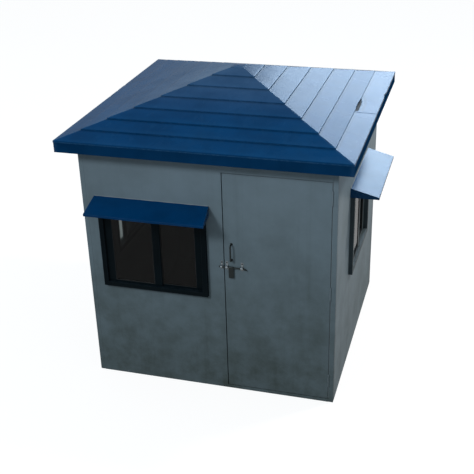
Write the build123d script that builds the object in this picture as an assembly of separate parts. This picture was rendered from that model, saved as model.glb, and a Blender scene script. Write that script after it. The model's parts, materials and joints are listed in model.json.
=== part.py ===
from build123d import *
import os
from math import atan2, cos

# Security guard booth: a square cabin of insulated panels between corner posts, under a
# four sided roof with a deep fascia. A flush door opens outwards on the right of the front.
# Sliding windows with sheet metal hoods are on the front, right and left walls.
# Millimetres. X runs along the front to the right, Y runs from the front to the back, Z is up.
# The origin is the middle of the base, at ground level.

# Overall sizes
booth_width = 2100
booth_depth = 2100
wall_height = 2110
wall_thickness = 40

# Base and floor
base_tube = 50
floor_thickness = 18

# Doorway and door leaf
doorway_width = 874
header_height = 109
sill_height = 28
leaf_stop_gap = 5
hinge_gap = 5
latch_gap = 7
head_gap = 6
foot_gap = 6
stop_lap = 20
stop_thickness = 5

# Hinges
hinge_length = 120
hinge_top_distance = 125
hinge_bottom_distance = 185
hinge_plate_width = 30
hinge_plate_thickness = 2
knuckle_radius = 6
hinge_pin_radius = 3
hinge_pin_clearance = 0.05
knuckle_gap = 0.5

# Windows; the left one is nearer to the front than the right one and its right sash stands open
front_window_width = 914
side_window_width = 880
left_window_offset = 78
window_height = 762
window_sill_height = 896
window_projection = 35
window_frame_face = 40
sash_stile = 64
sash_rail = 16
sash_depth = 15
sash_track_gap = 2
sash_set_back = 20
meeting_overlap = 64
front_meeting_offset = 26
left_sash_opening = 140
glass_thickness = 5

# Window hoods
hood_side_margin = 28
hood_height_above_window = 49
hood_projection = 235
hood_drop = 62
hood_lip = 20
hood_sheet = 3

# Roof
eave_overhang = 132
fascia_height = 94
fascia_thickness = 12
ceiling_thickness = 12
roof_rise = 334
roof_thickness = 25
cap_width = 104
cap_lift = 4

# Sliding bolt on the door
bolt_height = 1189
bolt_stand_off = 14
bolt_rod_radius = 6
bolt_reach = 12
bolt_tail_clearance = 8
bolt_tail_drop = 12
bolt_tail_length = 20
guide_clearance = 0.3
saddle_radius = 10
strap_width = 20
strap_thickness = 3
strap_above = 48
strap_below = 26
strap_bolt_radius = 6
strap_bolt_head = 5
strap_bolt_rise = 36
receiver_width = 15
receiver_gap = 8
guide_edge_distance = 11
guide_pitch = 126
flap_width = 42
flap_length = 97
flap_thickness = 3
flap_barrel_radius = 9
flap_guide_gap = 5

# Pull handle on the door
handle_edge_distance = 62
handle_foot_height = 1253
handle_length = 141
handle_stand_off = 38
handle_bar_radius = 6.5
handle_bend_radius = 16
handle_foot_radius = 11
handle_foot_thickness = 3

# Places worked out from the sizes
half_width = booth_width / 2
half_depth = booth_depth / 2
front_y = -half_depth
inner_x = half_width - wall_thickness
inner_y = half_depth - wall_thickness
doorway_right = inner_x
doorway_left = doorway_right - doorway_width
doorway_top = wall_height - header_height
leaf_left = doorway_left + latch_gap
leaf_right = doorway_right - hinge_gap
leaf_bottom = sill_height + foot_gap
leaf_top = doorway_top - head_gap
leaf_back = -inner_y - leaf_stop_gap
window_top = window_sill_height + window_height
front_window_centre = (-half_width + doorway_left) / 2
fascia_x = half_width + eave_overhang
fascia_y = half_depth + eave_overhang
eave_top = wall_height + fascia_height
roof_top = eave_top + roof_rise


def block(x0, x1, y0, y1, z0, z1):
    """Box between two corners."""
    return Pos((x0 + x1) / 2, (y0 + y1) / 2, (z0 + z1) / 2) * Box(x1 - x0, y1 - y0, z1 - z0)


def rod_along_x(x0, x1, y, z, radius):
    """Cylinder from x0 to x1."""
    return Pos((x0 + x1) / 2, y, z) * Rot(0, 90, 0) * Cylinder(radius, x1 - x0)


def rod_along_y(x, y0, y1, z, radius):
    """Cylinder from y0 to y1."""
    return Pos(x, (y0 + y1) / 2, z) * Rot(90, 0, 0) * Cylinder(radius, y1 - y0)


def rod_upright(x, y, z0, z1, radius):
    """Cylinder from z0 to z1."""
    return Pos(x, y, (z0 + z1) / 2) * Cylinder(radius, z1 - z0)


def side_profile(points, x0, x1):
    """Prism whose outline is given in Y and Z, from x0 to x1."""
    outline = Polyline(*[(x0, y, z) for y, z in points], close=True)
    return extrude(make_face(outline), amount=x1 - x0, dir=(1, 0, 0))


def on_side(shape, side):
    """Turn something made for the front wall on to another wall of the booth."""
    if side == "right":
        return Pos(half_width, 0, 0) * Rot(0, 0, 90) * Pos(0, half_depth, 0) * shape
    if side == "left":
        return Pos(-half_width, 0, 0) * Rot(0, 0, -90) * Pos(0, half_depth, 0) * shape
    return shape


def base_and_floor():
    """Perimeter of square tube with two cross tubes through the middle, and the floor on it."""
    rim = block(-inner_x, inner_x, -inner_y, inner_y, 0, base_tube)
    hole_x = inner_x - base_tube
    hole_y = inner_y - base_tube
    frame = rim - block(-hole_x, hole_x, -hole_y, hole_y, 0, base_tube)
    half_tube = base_tube / 2
    frame += block(-hole_x, hole_x, -half_tube, half_tube, 0, base_tube)
    frame += block(-half_tube, half_tube, -hole_y, hole_y, 0, base_tube)
    floor_top = base_tube + floor_thickness
    board = block(-inner_x, inner_x, -inner_y, inner_y, base_tube, floor_top)
    return {"base_frame": frame, "floor_board": board}


def corner_posts():
    """A square post at each corner, as thick as the wall panels."""
    posts = {}
    for depth_name, y0 in (("front", -half_depth), ("back", inner_y)):
        for side_name, x0 in (("left", -half_width), ("right", inner_x)):
            name = f"corner_post_{depth_name}_{side_name}"
            posts[name] = block(x0, x0 + wall_thickness, y0, y0 + wall_thickness, 0, wall_height)
    return posts


def window_cut(centre, width):
    """Hole through a front facing wall for one window."""
    left = centre - width / 2
    right = centre + width / 2
    return block(left, right, -half_depth - 1, -inner_y + 1, window_sill_height, window_top)


def wall_panels():
    """Panels between the posts; the front is split beside, over and under the doorway."""
    front = block(-inner_x, doorway_left, -half_depth, -inner_y, 0, wall_height)
    front -= window_cut(front_window_centre, front_window_width)
    header = block(doorway_left, doorway_right, -half_depth, -inner_y, doorway_top, wall_height)
    sill = block(doorway_left, doorway_right, -half_depth, -inner_y, 0, sill_height)
    right = block(inner_x, half_width, -inner_y, inner_y, 0, wall_height)
    left = block(-half_width, -inner_x, -inner_y, inner_y, 0, wall_height)
    back = block(-inner_x, inner_x, inner_y, half_depth, 0, wall_height)
    return {
        "front_wall_panel": front,
        "front_wall_header": header,
        "door_sill": sill,
        "right_wall_panel": right - on_side(window_cut(0, side_window_width), "right"),
        "left_wall_panel": left - on_side(window_cut(left_window_offset, side_window_width), "left"),
        "back_wall_panel": back,
    }


def door_stops():
    """Bars behind the doorway that the closed leaf meets, one U of two jambs and a head."""
    y0 = -inner_y
    y1 = y0 + stop_thickness
    z0 = base_tube + floor_thickness
    top = doorway_top + stop_lap
    left = block(doorway_left - stop_lap, doorway_left + stop_lap, y0, y1, z0, top)
    right = block(doorway_right - stop_lap, doorway_right, y0, y1, z0, top)
    head = block(doorway_left, doorway_right, y0, y1, doorway_top - stop_lap, top)
    return {"door_stops": left + head + right}


def window(side, centre, width, meeting_offset=0, opening=0):
    """Projecting frame, two sashes on two tracks and their glass; the right sash may stand open."""
    left = centre - width / 2
    right = centre + width / 2
    frame_front = -half_depth - window_projection
    frame_back = -inner_y
    inside_left = left + window_frame_face
    inside_right = right - window_frame_face
    inside_bottom = window_sill_height + window_frame_face
    inside_top = window_top - window_frame_face
    frame = block(left, right, frame_front, frame_back, window_sill_height, window_top)
    frame -= block(inside_left, inside_right, frame_front, frame_back, inside_bottom, inside_top)
    outer_y = frame_front + sash_set_back
    inner_track_y = outer_y + sash_depth + sash_track_gap
    meeting = centre + meeting_offset
    half_overlap = meeting_overlap / 2
    sashes = {
        "left": (inside_left, meeting + half_overlap, outer_y),
        "right": (meeting - half_overlap - opening, inside_right - opening, inner_track_y),
    }
    pieces = {f"{side}_window_frame": on_side(frame, side)}
    panes = []
    for name, (x0, x1, y0) in sashes.items():
        y1 = y0 + sash_depth
        light = (x0 + sash_stile, x1 - sash_stile)
        light_z = (inside_bottom + sash_rail, inside_top - sash_rail)
        sash = block(x0, x1, y0, y1, inside_bottom, inside_top)
        sash -= block(*light, y0, y1, *light_z)
        glass_y = (y0 + y1 - glass_thickness) / 2
        panes.append(on_side(block(*light, glass_y, glass_y + glass_thickness, *light_z), side))
        pieces[f"{side}_window_sash_{name}"] = on_side(sash, side)
    pieces[f"{side}_window_glass"] = panes
    return pieces


def hood(side, centre, width):
    """Folded sheet over a window: a sloping top, a short lip and a cheek at each end."""
    half_length = width / 2 + hood_side_margin
    x0 = centre - half_length
    x1 = centre + half_length
    wall_y = -half_depth
    outer_y = wall_y - hood_projection
    top_z = window_top + hood_height_above_window
    outer_z = top_z - hood_drop
    lip_z = outer_z - hood_lip
    outline = [(wall_y, top_z), (outer_y, outer_z), (outer_y, lip_z), (wall_y, lip_z)]
    drop_of_sheet = hood_sheet / cos(atan2(hood_drop, hood_projection))
    inner_y0 = outer_y + hood_sheet
    slope = hood_drop / hood_projection
    inner_top = top_z - drop_of_sheet
    inner_outer = inner_top - slope * (hood_projection - hood_sheet)
    hollow = [(wall_y, inner_top), (inner_y0, inner_outer), (inner_y0, lip_z - 1), (wall_y, lip_z - 1)]
    shell = side_profile(outline, x0, x1) - side_profile(hollow, x0 + hood_sheet, x1 - hood_sheet)
    return {f"{side}_window_hood": on_side(shell, side)}


def roof():
    """Ceiling, fascia boards with mitred corners, four sloping slabs and a flat cap."""
    inside_x = fascia_x - fascia_thickness
    inside_y = fascia_y - fascia_thickness
    half_cap = cap_width / 2
    pieces = {}
    ceiling_top = wall_height + ceiling_thickness
    pieces["ceiling_panel"] = block(-inside_x, inside_x, -inside_y, inside_y, wall_height, ceiling_top)
    corners = {
        "front": ((-1, -1), (1, -1)),
        "right": ((1, -1), (1, 1)),
        "back": ((1, 1), (-1, 1)),
        "left": ((-1, 1), (-1, -1)),
    }
    for side, (start, end) in corners.items():
        outer = [(start[0] * fascia_x, start[1] * fascia_y), (end[0] * fascia_x, end[1] * fascia_y)]
        inner = [(end[0] * inside_x, end[1] * inside_y), (start[0] * inside_x, start[1] * inside_y)]
        plan = make_face(Polyline(*[(x, y, wall_height) for x, y in outer + inner], close=True))
        pieces[f"{side}_fascia"] = extrude(plan, amount=fascia_height, dir=(0, 0, 1))
        run = fascia_y if side in ("front", "back") else fascia_x
        slope = roof_rise / (run - half_cap)
        far = run - (inside_y if side in ("front", "back") else inside_x)
        eave_z = eave_top + slope * far
        quad = [
            (start[0] * inside_x, start[1] * inside_y, eave_z),
            (end[0] * inside_x, end[1] * inside_y, eave_z),
            (end[0] * half_cap, end[1] * half_cap, roof_top),
            (start[0] * half_cap, start[1] * half_cap, roof_top),
        ]
        sheet = make_face(Polyline(*quad, close=True))
        pieces[f"{side}_roof_panel"] = extrude(sheet, amount=roof_thickness, dir=(0, 0, -1))
    cap_bottom = roof_top - roof_thickness
    cap_top = roof_top + cap_lift
    pieces["roof_cap"] = block(-half_cap, half_cap, -half_cap, half_cap, cap_bottom, cap_top)
    return pieces


def hinges():
    """Three surface hinges; the post half carries the pin, the door half the middle knuckle."""
    pin_x = doorway_right - hinge_gap / 2
    pin_y = front_y - knuckle_radius
    third = hinge_length / 3
    plate_y0 = front_y - hinge_plate_thickness
    upper_height = leaf_top - hinge_top_distance
    lower_height = leaf_bottom + hinge_bottom_distance
    middle_height = (lower_height + upper_height) / 2
    post_halves = []
    door_halves = []
    plate_offset = knuckle_radius + knuckle_gap
    for centre in (lower_height, middle_height, upper_height):
        z0 = centre - hinge_length / 2
        z1 = z0 + hinge_length
        low = z0 + third
        high = z1 - third
        post = rod_upright(pin_x, pin_y, z0, z1, hinge_pin_radius)
        post += block(pin_x + plate_offset, pin_x + hinge_plate_width, plate_y0, front_y, z0, z1)
        for k0, k1 in ((z0, low), (high, z1)):
            post += rod_upright(pin_x, pin_y, k0, k1, knuckle_radius)
            post += block(doorway_right, pin_x + plate_offset, plate_y0, front_y, k0, k1)
        post_halves.append(post)
        m0 = low + knuckle_gap
        m1 = high - knuckle_gap
        door = block(pin_x - hinge_plate_width, pin_x - plate_offset, plate_y0, front_y, z0, z1)
        door += rod_upright(pin_x, pin_y, m0, m1, knuckle_radius)
        door += block(pin_x - plate_offset, leaf_right, plate_y0, front_y, m0, m1)
        bore = hinge_pin_radius + hinge_pin_clearance
        door -= rod_upright(pin_x, pin_y, m0, m1, bore)
        door_halves.append(door)
    return {"hinge_post_halves": post_halves, "hinge_door_halves": door_halves}


def strap(x, width):
    """Upright strap with a round saddle over the rod and a bolt head above it."""
    rod_y = front_y - bolt_stand_off
    x0 = x - width / 2
    x1 = x + width / 2
    z0 = bolt_height - strap_below
    z1 = bolt_height + strap_above
    piece = block(x0, x1, front_y - strap_thickness, front_y, z0, z1)
    piece += rod_along_x(x0, x1, rod_y, bolt_height, saddle_radius)
    saddle_back = front_y - strap_thickness
    half = saddle_radius
    piece += block(x0, x1, rod_y, saddle_back, bolt_height - half, bolt_height + half)
    piece -= rod_along_x(x0, x1, rod_y, bolt_height, bolt_rod_radius + guide_clearance)
    head_z = bolt_height + strap_bolt_rise
    head_y0 = front_y - strap_thickness - strap_bolt_head
    piece += rod_along_y(x, head_y0, front_y - strap_thickness, head_z, strap_bolt_radius)
    return piece


def sliding_bolt():
    """Receiver on the wall, two guides on the door, the rod shut through the receiver, its flap."""
    rod_y = front_y - bolt_stand_off
    receiver_right = doorway_left - receiver_gap
    receiver_x = receiver_right - receiver_width / 2
    first_guide = leaf_left + guide_edge_distance + strap_width / 2
    second_guide = first_guide + guide_pitch
    tip = receiver_right - receiver_width - bolt_reach
    tail = second_guide + strap_width / 2 + bolt_tail_clearance
    rod = rod_along_x(tip, tail, rod_y, bolt_height, bolt_rod_radius)
    rod = chamfer(rod.faces().sort_by(Axis.X)[0].edges(), bolt_rod_radius / 3)
    bend = Plane(origin=(tail, rod_y, bolt_height), z_dir=(bolt_tail_length, 0, -bolt_tail_drop))
    rod += Sphere(bolt_rod_radius).moved(Location((tail, rod_y, bolt_height)))
    tail_run = (bolt_tail_length ** 2 + bolt_tail_drop ** 2) ** 0.5
    rod += bend * Pos(0, 0, tail_run / 2) * Cylinder(bolt_rod_radius, tail_run)
    flap_x0 = first_guide + strap_width / 2 + flap_guide_gap
    flap_x1 = flap_x0 + flap_width
    half_sheet = flap_thickness / 2
    flap = rod_along_x(flap_x0, flap_x1, rod_y, bolt_height, flap_barrel_radius)
    flap += block(flap_x0, flap_x1, rod_y - half_sheet, rod_y + half_sheet,
                  bolt_height - flap_length, bolt_height)
    flap -= rod_along_x(flap_x0, flap_x1, rod_y, bolt_height, bolt_rod_radius + guide_clearance)
    return {
        "bolt_receiver": strap(receiver_x, receiver_width),
        "bolt_guides": [strap(first_guide, strap_width), strap(second_guide, strap_width)],
        "bolt_rod": rod,
        "bolt_flap": flap,
    }


def pull_handle():
    """Round bar bent to a bow, on two round feet."""
    x = leaf_left + handle_edge_distance
    z0 = handle_foot_height
    z1 = z0 + handle_length
    bar_y = front_y - handle_stand_off
    corners = [(x, front_y, z0), (x, bar_y, z0), (x, bar_y, z1), (x, front_y, z1)]
    path = FilletPolyline(*corners, radius=handle_bend_radius)
    start = Plane(origin=corners[0], z_dir=(0, -1, 0))
    handle = sweep(start * Circle(handle_bar_radius), path=path)
    for z in (z0, z1):
        handle += rod_along_y(x, front_y - handle_foot_thickness, front_y, z, handle_foot_radius)
    return {"pull_handle": handle}


def build_all():
    """Every piece of the booth by name."""
    pieces = {}
    pieces.update(base_and_floor())
    pieces.update(corner_posts())
    pieces.update(wall_panels())
    pieces.update(door_stops())
    pieces.update(window("front", front_window_centre, front_window_width, front_meeting_offset))
    pieces.update(hood("front", front_window_centre, front_window_width))
    for side, centre, opening in (("right", 0, 0), ("left", left_window_offset, left_sash_opening)):
        pieces.update(window(side, centre, side_window_width, 0, opening))
        pieces.update(hood(side, centre, side_window_width))
    pieces.update(roof())
    leaf = block(leaf_left, leaf_right, front_y, leaf_back, leaf_bottom, leaf_top)
    pieces["door_leaf"] = leaf
    pieces.update(hinges())
    pieces.update(sliding_bolt())
    pieces.update(pull_handle())
    return pieces


os.makedirs("parts", exist_ok=True)
for piece_name, piece_shape in build_all().items():
    solids = piece_shape if isinstance(piece_shape, list) else [piece_shape]
    whole = Compound(children=[s for one in solids for s in one.solids()])
    export_step(whole, f"parts/{piece_name}.step")
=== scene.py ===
"""Security guard booth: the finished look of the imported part.

Metres, in the part's own frame: X runs along the front to the right, Y from the front to the
back, Z up. Each new piece is a surface worked out with numpy, rides on its body and stands for
the node it covers. Flat pieces whose shape is already right keep the node and get a finish.
"""

import json

import bmesh
import bpy
import numpy as np
from bpy.props import FloatProperty, FloatVectorProperty, PointerProperty
from mathutils import Matrix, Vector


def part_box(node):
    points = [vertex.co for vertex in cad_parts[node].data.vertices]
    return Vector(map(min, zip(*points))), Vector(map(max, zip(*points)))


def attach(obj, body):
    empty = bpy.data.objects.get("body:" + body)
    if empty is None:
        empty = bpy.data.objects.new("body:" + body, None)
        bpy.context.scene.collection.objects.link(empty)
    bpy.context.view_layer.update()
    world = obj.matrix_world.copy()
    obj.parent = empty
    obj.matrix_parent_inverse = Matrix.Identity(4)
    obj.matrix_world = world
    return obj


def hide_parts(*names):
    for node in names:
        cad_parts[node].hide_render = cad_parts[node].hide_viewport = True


bl_info = {
    "name": "Guard booth",
    "version": (1, 0, 0),
    "blender": (4, 5, 0),
    "location": "3D View > Sidebar > Booth",
    "description": "Roof sheets, hoods, windows, door and finishes of a guard booth",
    "category": "Object",
}

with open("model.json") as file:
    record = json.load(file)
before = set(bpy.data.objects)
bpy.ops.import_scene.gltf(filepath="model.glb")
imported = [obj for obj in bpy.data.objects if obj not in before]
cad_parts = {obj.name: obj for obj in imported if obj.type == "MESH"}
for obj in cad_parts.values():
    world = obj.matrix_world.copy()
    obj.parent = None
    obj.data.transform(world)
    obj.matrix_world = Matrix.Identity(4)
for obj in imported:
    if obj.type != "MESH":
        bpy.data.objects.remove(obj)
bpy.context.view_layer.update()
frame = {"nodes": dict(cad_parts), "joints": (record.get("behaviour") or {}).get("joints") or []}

SIDES = ("front", "right", "back", "left")
WINDOW_SIDES = ("front", "right", "left")
OUTWARDS = (0, -1, 0)
UPWARDS = (0, 0, 1)


# Sizes and colours

def srgb(red, green, blue):
    """Linear colour of a screen colour given from 0 to 255."""
    share = np.array([red, green, blue]) / 255
    return tuple(np.where(share <= 0.04045, share / 12.92, ((share + 0.055) / 1.055) ** 2.4))


def length(name, description, default):
    """A length in metres that a user may change."""
    return FloatProperty(name=name, description=description, default=default,
                         min=0, precision=4, unit="LENGTH", subtype="DISTANCE")


def share(name, description, default, most=1):
    """A share from none to all, or a strength where most is more than one."""
    return FloatProperty(name=name, description=description, default=default,
                         min=0, max=most, subtype="FACTOR")


def colour(name, description, default):
    """A paint or material colour."""
    return FloatVectorProperty(name=name, description=description, default=srgb(*default),
                               min=0, max=1, size=3, subtype="COLOR")


def dimmed(tint, times):
    """A colour made darker, or lighter where times is more than one."""
    return tuple(min(1, c * times) for c in tint)


# Pale bloom on the roof, which also paints the sheen that lightens its upper courses.
BLOOM_AND_SHEEN = srgb(80, 102, 123)
# Near black of the painted shade in the roof's cracks and under its bent edge.
CRACK_SHADOW_COLOUR = (0.004, 0.006, 0.008)
WORN_WALL = srgb(121, 128, 132)
# Worn roof paint, which along the hips also paints a highlight line.
WORN_AND_HIGHLIT_ROOF = srgb(59, 94, 125)
WORN_TRIM = srgb(50, 81, 111)


class RoofSizes(bpy.types.PropertyGroup):
    course_edges: FloatVectorProperty(
        name="Course edges", size=8, unit="LENGTH", precision=3,
        description="Distance of each course's lower edge from the middle, from the eave to the cap",
        default=(1.182, 1.015, 0.855, 0.688, 0.516, 0.345, 0.182, 0.052))
    step: length("Step", "How far each course's lower edge stands over the next course", 0.008)
    tuck: length("Tuck", "How far each course runs on under the one above it", 0.030)
    sheet: length("Sheet", "Thickness of the roof sheet", 0.0012)
    eave_fold: length("Eave fold", "How far the lowest course folds down over the fascia", 0.016)
    waviness: length("Waviness", "How far the sheets swell and sink", 0.0010)
    torn_gap: length("Torn gap", "Width of the gap torn open on the right side", 0.022)
    torn_slant: length("Torn slant", "How far the torn sheet's end slants from its top to the eave", 0.140)


class WindowSizes(bpy.types.PropertyGroup):
    frame_face: length("Frame face", "Width of the frame seen from outside", 0.040)
    stile: length("Stile", "Width of a sash's upright sides", 0.064)
    rail: length("Rail", "Height of a sash's top and bottom", 0.016)
    edge: length("Edge radius", "Rounding of the frame's and sashes' edges", 0.002)
    gasket: length("Gasket", "Width of the rubber round each pane", 0.005)
    hood_drop: length("Hood drop", "Fall of a hood from the wall to its outer edge", 0.062)
    hood_hem: length("Hood hem", "Width of the hem turned in under a hood's lip", 0.010)
    hood_splay: length("Hood splay", "How far the front hood's right end is bent outwards", 0.028)


class DoorSizes(bpy.types.PropertyGroup):
    edge: length("Edge radius", "Rounding of the leaf's and posts' edges", 0.0025)
    seal_depth: length("Seal depth", "How far the seals at the head and hinge side are set back", 0.006)
    seal_clearance: length("Seal clearance", "Space between the leaf and its seals", 0.0015)
    strap_sheet: length("Strap sheet", "Thickness of the bolt's straps", 0.0028)
    bolt_head: length("Bolt head", "Radius of the straps' bolt heads", 0.006)
    rod: length("Rod", "Radius of the sliding bolt's rod", 0.006)
    handle_bar: length("Handle bar", "Radius of the pull handle's bar", 0.0065)
    handle_foot: length("Handle foot", "Radius of the pull handle's feet", 0.011)


class BoothColours(bpy.types.PropertyGroup):
    wall: colour("Wall", "Coated sheet of the walls and door", (113, 127, 135))
    # Dust on the walls, also the colour of their darkening towards the bottom, which is partly painted shade.
    wall_dirt_and_shade: colour("Wall dirt", "Dust and splashes on the walls", (64, 71, 68))
    roof: colour("Roof", "Paint of the roof and the front hood", (0, 46, 83))
    # Lighter copy of the roof paint for the side hoods: painted light.
    side_hood: colour("Side hoods", "Paint of the hoods at the sides", (8, 54, 90))
    # Darker copy of the roof paint for the fascia: painted shade.
    fascia: colour("Fascia", "Paint of the fascia round the eaves", (5, 43, 75))
    # Dust on the roof, also the colour of the painted highlight along each course's lower edge.
    roof_dust_and_highlight: colour("Roof dust", "Dust and chalk on the roof", (19, 62, 97))
    window_frame: colour("Window frame", "Paint of the front window's frame", (3, 10, 14))
    # Lighter copy of the frame paint for the side windows: painted light.
    lit_side_frame: colour("Side frames", "Dusty paint of the side windows' frames", (56, 66, 69))
    glass: colour("Glass", "Tint of the panes", (96, 104, 104))
    liner: colour("Liner", "Walls and ceiling inside", (151, 149, 142))
    floor_sheet: colour("Floor sheet", "Worn sheet on the floor", (99, 88, 78))
    steel: colour("Steel", "Bolt, bolt heads and handle", (17, 25, 28))
    zinc: colour("Zinc", "Straps that hold the bolt", (70, 78, 82))
    base: colour("Base", "Primer of the base frame", (40, 40, 41))


class StageLight(bpy.types.PropertyGroup):
    room: share("Room light", "Even light from all round", 0.56, 2)
    front: share("Front light", "Light from the front, left and above", 0.42, 4)
    side: share("Side light", "Steep light from the right and behind", 0.59, 4)
    sheen: share("Sheen light", "Brightness of the panel behind the roof", 20.5, 40)
    floor: share("Floor", "Pale colour of the floor", 0.16)


# Shapes

def unit(vectors):
    """Each vector divided by its own length."""
    return vectors / np.linalg.norm(vectors, axis=-1, keepdims=True)


def turned(points, side):
    """Points made for the front, turned about the booth's middle by a quarter for each side."""
    x, y, z = np.moveaxis(np.asarray(points, float), -1, 0)
    x, y = {"front": (x, y), "right": (-y, x), "back": (-x, -y), "left": (y, -x)}[side]
    return np.stack([x, y, z], -1)


def front_box(node, side="front"):
    """A node's lowest and highest corners, turned back to the front."""
    back = {"front": "front", "right": "left", "back": "back", "left": "right"}[side]
    corners = turned(np.array([list(corner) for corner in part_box(node)]), back)
    return corners.min(0), corners.max(0)


def loft(rings, endless=False):
    """Closed surface through a row of rings: quads join each ring to the next one, and the two
    end rings are filled, or joined to each other where the row is endless."""
    rings = np.asarray(rings, float)
    rows, around = rings.shape[:2]
    index = np.arange(rows * around).reshape(rows, around)
    walk = np.vstack([index, index[:1]]) if endless else index
    near, far = walk[:-1], walk[1:]
    quads = np.stack([near, far, np.roll(far, -1, 1), np.roll(near, -1, 1)], -1)
    faces = quads.reshape(-1, 4).tolist()
    if not endless:
        faces += [index[0].tolist(), index[-1, ::-1].tolist()]
    return rings.reshape(-1, 3), faces


def joined(parts):
    """Several surfaces as one list of points and faces."""
    points, faces, offset = [], [], 0
    for part_points, part_faces in parts:
        points.append(part_points)
        faces += [[offset + i for i in face] for face in part_faces]
        offset += len(part_points)
    return np.vstack(points), faces


def bent_path(corners, radii, steps=5):
    """Polyline with corners rounded: an arc that touches both runs takes each corner's place, its
    points the blend of its two end spokes by the sines of the angle left and the angle done."""
    corners = np.asarray(corners, float)
    radii = np.broadcast_to(radii, len(corners) - 2)
    path = [corners[:1]]
    for before, corner, after, radius in zip(corners, corners[1:], corners[2:], radii):
        a, b = before - corner, after - corner
        run = 0.49 * min(np.linalg.norm(a), np.linalg.norm(b))
        a, b = unit(a), unit(b)
        half = np.arccos(np.clip(a @ b, -1, 1)) / 2
        if radius == 0 or half > 1.56:
            path.append(corner[None])
            continue
        reach = min(radius / np.tan(half), run)
        centre = corner + unit(a + b) * reach / np.cos(half)
        start, end = corner + a * reach - centre, corner + b * reach - centre
        whole = np.pi - 2 * half
        done = np.linspace(0, whole, steps + 1)[:, None]
        path.append(centre + (np.sin(whole - done) * start + np.sin(done) * end) / np.sin(whole))
    return np.vstack(path + [corners[-1:]])


def sheet_outline(path, thickness):
    """Closed outline of a bent sheet: the path, and back along the path moved to its left by
    the sheet's thickness."""
    along = unit(np.gradient(path, axis=0))
    left = np.stack([-along[:, 1], along[:, 0]], -1)
    return np.vstack([path, (path + left * thickness)[::-1]])


def rounded_outline(half_x, half_y, radius, margin=0.005, steps=3):
    """Closed rounded rectangle round the middle: a quarter circle at each corner, and a point
    one margin along the run on each side of it."""
    margin = min(margin, 0.4 * (min(half_x, half_y) - radius))
    ring = []
    for start, sign_x, sign_y in ((0, 1, 1), (1, -1, 1), (2, -1, -1), (3, 1, -1)):
        angle = np.pi / 2 * (start + np.linspace(0, 1, steps + 1))
        centre = [sign_x * (half_x - radius), sign_y * (half_y - radius)]
        spokes = np.stack([np.cos(angle), np.sin(angle)], -1)
        tangents = np.stack([-spokes[:, 1], spokes[:, 0]], -1)
        arc = centre + radius * spokes
        ring.append(np.vstack([arc[:1] - margin * tangents[:1], arc, arc[-1:] + margin * tangents[-1:]]))
    return np.vstack(ring)


def rounded_bar(low, high, radius, axis=2, margin=0.005):
    """Bar between two corners: a rounded rectangle carried along an axis and drawn in by the
    edge radius at both ends, as a quarter circle draws it."""
    low, high = np.asarray(low, float), np.asarray(high, float)
    across = [i for i in range(3) if i != axis]
    middle, half = (low + high) / 2, (high - low) / 2
    turn = np.linspace(0, np.pi / 2, 4)
    inset = np.append(radius * (1 - np.sin(turn)), 0)
    rise = np.append(radius * (1 - np.cos(turn)), radius + min(margin, 0.4 * half[axis]))
    inset, place = (np.concatenate(pair) for pair in (
        (inset, inset[::-1]), (low[axis] + rise, high[axis] - rise[::-1])))
    rings = []
    for draw, at in zip(inset, place):
        flat = rounded_outline(*(half[across] - draw), max(radius - draw, radius / 8), margin)
        ring = np.empty((len(flat), 3))
        ring[:, across] = middle[across] + flat
        ring[:, axis] = at
        rings.append(ring)
    return loft(rings)


def plate(outline, axis, start, end):
    """Plate of a flat outline, given in the two other axes, from start to end along an axis."""
    rings = np.insert(np.asarray(outline, float), axis, 0, axis=1)[None].repeat(2, 0)
    rings[0, :, axis], rings[1, :, axis] = start, end
    return loft(rings)


def swept_along_x(outline, stations):
    """Outline given in Y and Z, carried along X through the stations."""
    outline, stations = np.asarray(outline, float), np.asarray(stations, float)
    rings = np.empty((len(stations), len(outline), 3))
    rings[..., 0] = stations[:, None]
    rings[..., 1:] = outline
    return loft(rings)


def tube(path, radius, plane, around=20):
    """Round bar along a flat path: at each point of the path a circle in the plane of the path's
    side direction and the flat's own normal."""
    path, plane = np.asarray(path, float), np.asarray(plane, float)
    side = np.cross(unit(np.gradient(path, axis=0)), plane)
    angle = np.linspace(0, 2 * np.pi, around, endpoint=False)[:, None]
    radius = np.broadcast_to(radius, len(path))[:, None, None]
    return loft(path[:, None] + radius * (np.cos(angle) * side[:, None] + np.sin(angle) * plane))


def lathed(profile, foot, axis, around=20):
    """Turned shape: each profile row is a height along the axis and a radius about it."""
    heights, radii = np.asarray(profile, float).T
    axis = np.asarray(axis, float)
    u = unit(np.cross(axis, [0.3, 0.5, 0.81]))
    v = np.cross(axis, u)
    angle = np.linspace(0, 2 * np.pi, around, endpoint=False)[:, None]
    circle = np.cos(angle) * u + np.sin(angle) * v
    return loft(np.asarray(foot) + heights[:, None, None] * axis + radii[:, None, None] * circle)


def dome_head(foot, axis, radius, height):
    """Low round head of a bolt or screw: a short rim under half an ellipse."""
    turn = np.linspace(0, 1.45, 6)
    rows = [(0, radius)] + [(height * (0.3 + 0.7 * np.sin(t)), radius * np.cos(t)) for t in turn]
    return lathed(rows, foot, axis)


def mitred_frame(low, high, widths, inward, depth):
    """Four sided frame with mitred corners. Each point of the profile lies a share of the side's
    width, plus an offset, in from the outer rectangle; the profile is carried round the corners."""
    portion, offset = np.asarray(inward, float).T
    reach_x, reach_z = widths[0] * portion + offset, widths[1] * portion + offset
    rings = []
    for right, top in ((0, 0), (1, 0), (1, 1), (0, 1)):
        x = high[0] - reach_x if right else low[0] + reach_x
        z = high[2] - reach_z if top else low[2] + reach_z
        rings.append(np.stack([x, np.asarray(depth, float), z], -1))
    return loft(rings, endless=True)


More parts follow.
